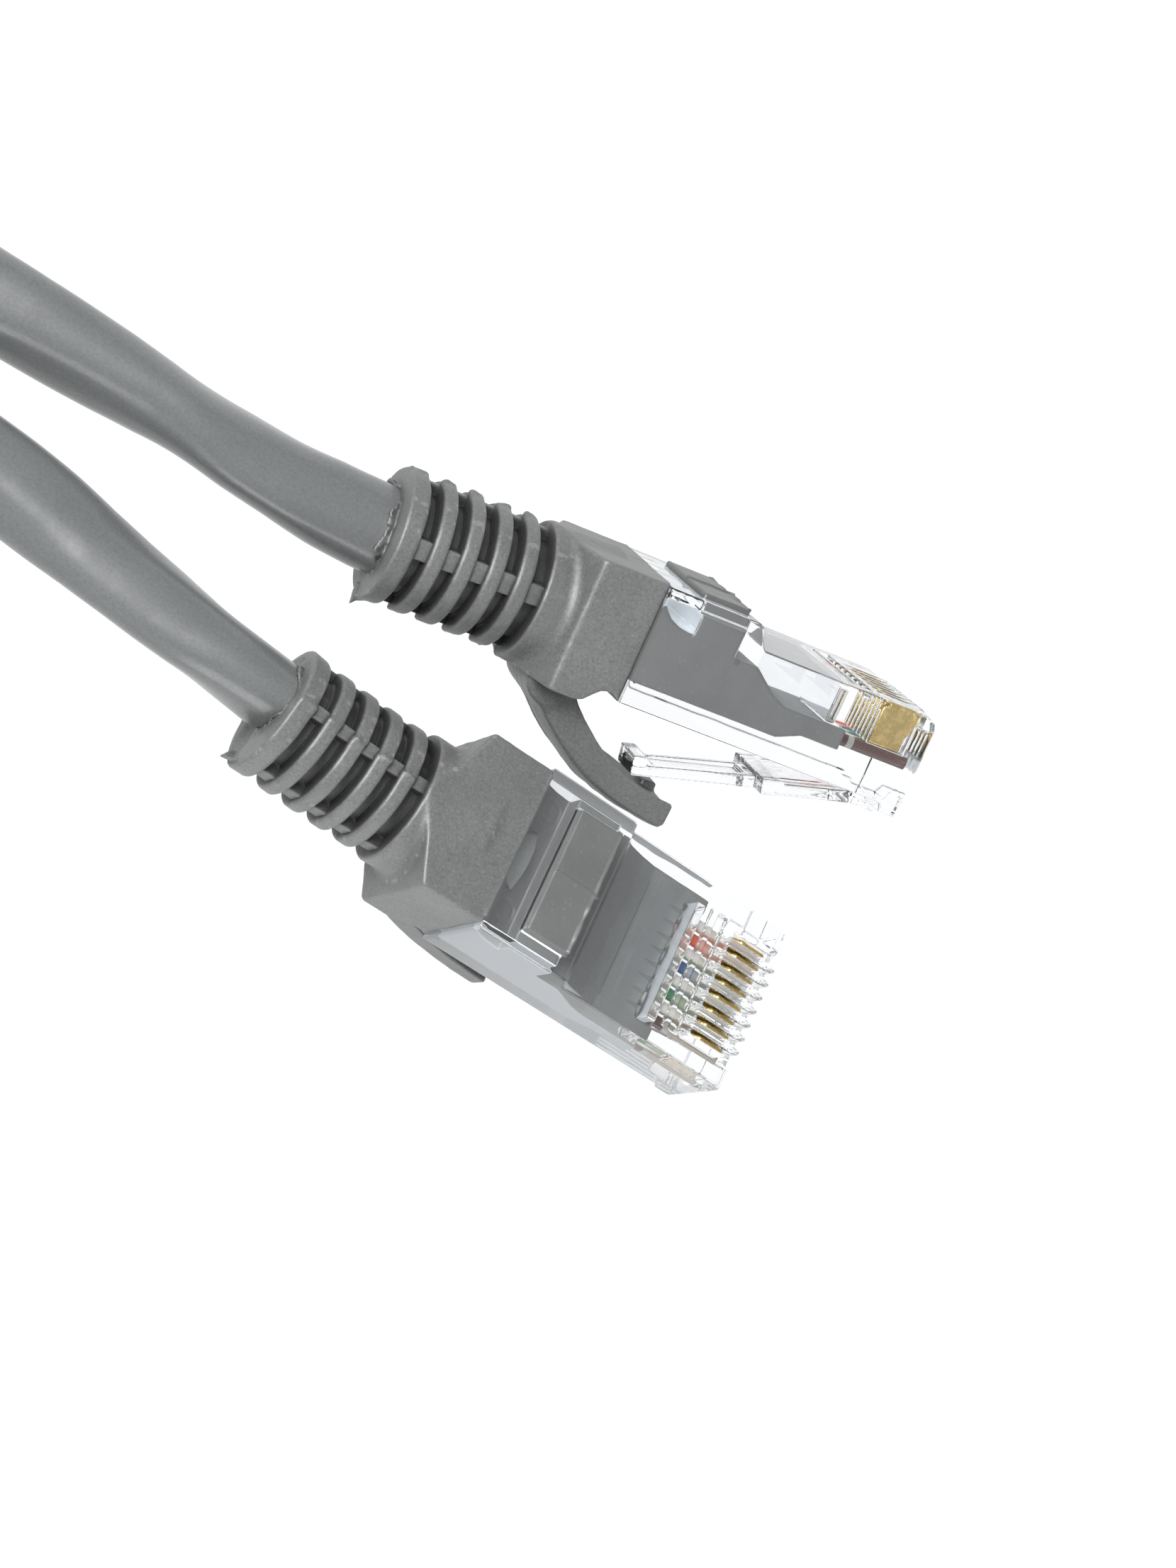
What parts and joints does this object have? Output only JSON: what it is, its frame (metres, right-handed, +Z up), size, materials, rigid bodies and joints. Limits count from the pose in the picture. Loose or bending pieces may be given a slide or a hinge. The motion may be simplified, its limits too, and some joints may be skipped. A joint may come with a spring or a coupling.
{
  "type": "ethernet patch cable",
  "caption": "Short grey network patch lead: two clear modular plugs with moulded strain relief boots and latch guards, joined by a round cable laid in a loop.",
  "frame": {"origin": "centre of plug A's nose face", "axes": "+X out of plug A's nose, the way it is pushed into a jack; +Y out of plug A's contact face; +Z up from the table the lead lies on"},
  "size_m": [0.1669, 0.0723, 0.0179],
  "materials": {
    "jacket": "smooth, soft sheen",
    "boot_grey": "fine moulded grain",
    "mould_grey": "moulded, satin",
    "housing_clear": "clear, polished",
    "bar_clear": "translucent",
    "contact_gold": "bright plated",
    "wire_orange": "smooth insulation, one wire of the pair white with a stripe",
    "wire_green": "smooth insulation, one wire of the pair white with a stripe",
    "wire_blue": "smooth insulation, one wire of the pair white with a stripe",
    "wire_brown": "smooth insulation, one wire of the pair white with a stripe"
  },
  "bodies": {
    "loop": {"jacket_loop": "jacket", "pair_orange_loop": "wire_orange", "pair_green_loop": "wire_green", "pair_blue_loop": "wire_blue", "pair_brown_loop": "wire_brown"},
    "leg_a": {"jacket_leg_a": "jacket", "pair_orange_leg_a": "wire_orange", "pair_green_leg_a": "wire_green", "pair_blue_leg_a": "wire_blue", "pair_brown_leg_a": "wire_brown", "collar_a": "boot_grey"},
    "relief_4_a": {"ring_4_a": "boot_grey", "jacket_slice_4_a": "jacket"},
    "relief_3_a": {"ring_3_a": "boot_grey", "jacket_slice_3_a": "jacket"},
    "relief_2_a": {"ring_2_a": "boot_grey", "jacket_slice_2_a": "jacket"},
    "relief_1_a": {"ring_1_a": "boot_grey", "jacket_slice_1_a": "jacket"},
    "plug_a": {"housing_a": "housing_clear", "boot_a": "boot_grey", "inner_mould_a": "mould_grey", "contacts_a": "contact_gold", "load_bar_a": "bar_clear", "jacket_end_a": "jacket", "wires_orange_a": "wire_orange", "wires_green_a": "wire_green", "wires_blue_a": "wire_blue", "wires_brown_a": "wire_brown"},
    "guard_arm_a": {"latch_guard_a": "boot_grey"},
    "latch_arm_a": {"latch_a": "housing_clear"},
    "leg_b": {"jacket_leg_b": "jacket", "pair_orange_leg_b": "wire_orange", "pair_green_leg_b": "wire_green", "pair_blue_leg_b": "wire_blue", "pair_brown_leg_b": "wire_brown", "collar_b": "boot_grey"},
    "relief_4_b": {"ring_4_b": "boot_grey", "jacket_slice_4_b": "jacket"},
    "relief_3_b": {"ring_3_b": "boot_grey", "jacket_slice_3_b": "jacket"},
    "relief_2_b": {"ring_2_b": "boot_grey", "jacket_slice_2_b": "jacket"},
    "relief_1_b": {"ring_1_b": "boot_grey", "jacket_slice_1_b": "jacket"},
    "plug_b": {"housing_b": "housing_clear", "boot_b": "boot_grey", "inner_mould_b": "mould_grey", "contacts_b": "contact_gold", "load_bar_b": "bar_clear", "jacket_end_b": "jacket", "wires_orange_b": "wire_orange", "wires_green_b": "wire_green", "wires_blue_b": "wire_blue", "wires_brown_b": "wire_brown"},
    "guard_arm_b": {"latch_guard_b": "boot_grey"},
    "latch_arm_b": {"latch_b": "housing_clear"}
  },
  "joints": [
    {"name": "leg_a_swing", "type": "hinge", "parent": "loop", "child": "leg_a", "pos_m": [-0.08391, 0.00769, -0.00294], "axis": [0, 0, 1], "range_deg": [0, 30], "stiffness_Nm_per_rad": 0.02},
    {"name": "boot_sway_5_a", "type": "hinge", "parent": "leg_a", "child": "relief_4_a", "pos_m": [-0.03626, 0.0005, 0], "axis": [0, 1, 0], "range_deg": [0, 7], "stiffness_Nm_per_rad": 0.05},
    {"name": "boot_nod_4_a", "type": "hinge", "parent": "relief_4_a", "child": "relief_3_a", "pos_m": [-0.03433, 0.0005, 0], "axis": [0, 0, 1], "range_deg": [0, 7], "stiffness_Nm_per_rad": 0.05},
    {"name": "boot_sway_3_a", "type": "hinge", "parent": "relief_3_a", "child": "relief_2_a", "pos_m": [-0.0324, 0.0005, 0], "axis": [0, 1, 0], "range_deg": [0, 7], "stiffness_Nm_per_rad": 0.05},
    {"name": "boot_nod_2_a", "type": "hinge", "parent": "relief_2_a", "child": "relief_1_a", "pos_m": [-0.03046, 0.0005, 0], "axis": [0, 0, 1], "range_deg": [0, 7], "stiffness_Nm_per_rad": 0.05},
    {"name": "boot_sway_1_a", "type": "hinge", "parent": "relief_1_a", "child": "plug_a", "pos_m": [-0.02854, 0.0005, 0], "axis": [0, 1, 0], "range_deg": [0, 7], "stiffness_Nm_per_rad": 0.05},
    {"name": "guard_press_a", "type": "hinge", "parent": "plug_a", "child": "guard_arm_a", "pos_m": [-0.02475, -0.0042, 0], "axis": [0, 0, 1], "range_deg": [0, 14], "stiffness_Nm_per_rad": 0.006},
    {"name": "latch_press_a", "type": "hinge", "parent": "plug_a", "child": "latch_arm_a", "pos_m": [-0.0019, -0.00395, 0], "axis": [0, 0, -1], "range_deg": [0, 9], "stiffness_Nm_per_rad": 0.002},
    {"name": "leg_b_swing", "type": "hinge", "parent": "loop", "child": "leg_b", "pos_m": [-0.08275, 0.00089, -0.00294], "axis": [0, 0, -1], "range_deg": [0, 30], "stiffness_Nm_per_rad": 0.02},
    {"name": "boot_sway_5_b", "type": "hinge", "parent": "leg_b", "child": "relief_4_b", "pos_m": [-0.03967, -0.01204, 0.00486], "axis": [-0.0809, -0.4786, -0.8743], "range_deg": [0, 7], "stiffness_Nm_per_rad": 0.05},
    {"name": "boot_nod_4_b", "type": "hinge", "parent": "relief_4_b", "child": "relief_3_b", "pos_m": [-0.03781, -0.01255, 0.00496], "axis": [0.2394, 0.8422, -0.4831], "range_deg": [0, 7], "stiffness_Nm_per_rad": 0.05},
    {"name": "boot_sway_3_b", "type": "hinge", "parent": "relief_3_b", "child": "relief_2_b", "pos_m": [-0.03594, -0.01302, 0.00505], "axis": [-0.0809, -0.4786, -0.8743], "range_deg": [0, 7], "stiffness_Nm_per_rad": 0.05},
    {"name": "boot_nod_2_b", "type": "hinge", "parent": "relief_2_b", "child": "relief_1_b", "pos_m": [-0.03407, -0.01348, 0.00513], "axis": [0.2123, 0.8488, -0.4842], "range_deg": [0, 7], "stiffness_Nm_per_rad": 0.05},
    {"name": "boot_sway_1_b", "type": "hinge", "parent": "relief_1_b", "child": "plug_b", "pos_m": [-0.03219, -0.01392, 0.00519], "axis": [-0.0809, -0.4786, -0.8743], "range_deg": [0, 7], "stiffness_Nm_per_rad": 0.05},
    {"name": "guard_press_b", "type": "hinge", "parent": "plug_b", "child": "guard_arm_b", "pos_m": [-0.02887, -0.01697, 0.00118], "axis": [-0.1987, -0.8518, 0.4846], "range_deg": [0, 14], "stiffness_Nm_per_rad": 0.006},
    {"name": "latch_press_b", "type": "hinge", "parent": "plug_b", "child": "latch_arm_b", "pos_m": [-0.00653, -0.02172, 0.002], "axis": [0.1987, 0.8518, -0.4846], "range_deg": [0, 9], "stiffness_Nm_per_rad": 0.002}
  ],
  "couplings": [
    {"joint": "boot_sway_3_a", "follows": "boot_sway_1_a", "ratio": 1},
    {"joint": "boot_sway_5_a", "follows": "boot_sway_1_a", "ratio": 1},
    {"joint": "boot_nod_4_a", "follows": "boot_nod_2_a", "ratio": 1},
    {"joint": "latch_press_a", "follows": "guard_press_a", "ratio": 0.64},
    {"joint": "boot_sway_3_b", "follows": "boot_sway_1_b", "ratio": 1},
    {"joint": "boot_sway_5_b", "follows": "boot_sway_1_b", "ratio": 1},
    {"joint": "boot_nod_4_b", "follows": "boot_nod_2_b", "ratio": 1},
    {"joint": "latch_press_b", "follows": "guard_press_b", "ratio": 0.64}
  ]
}
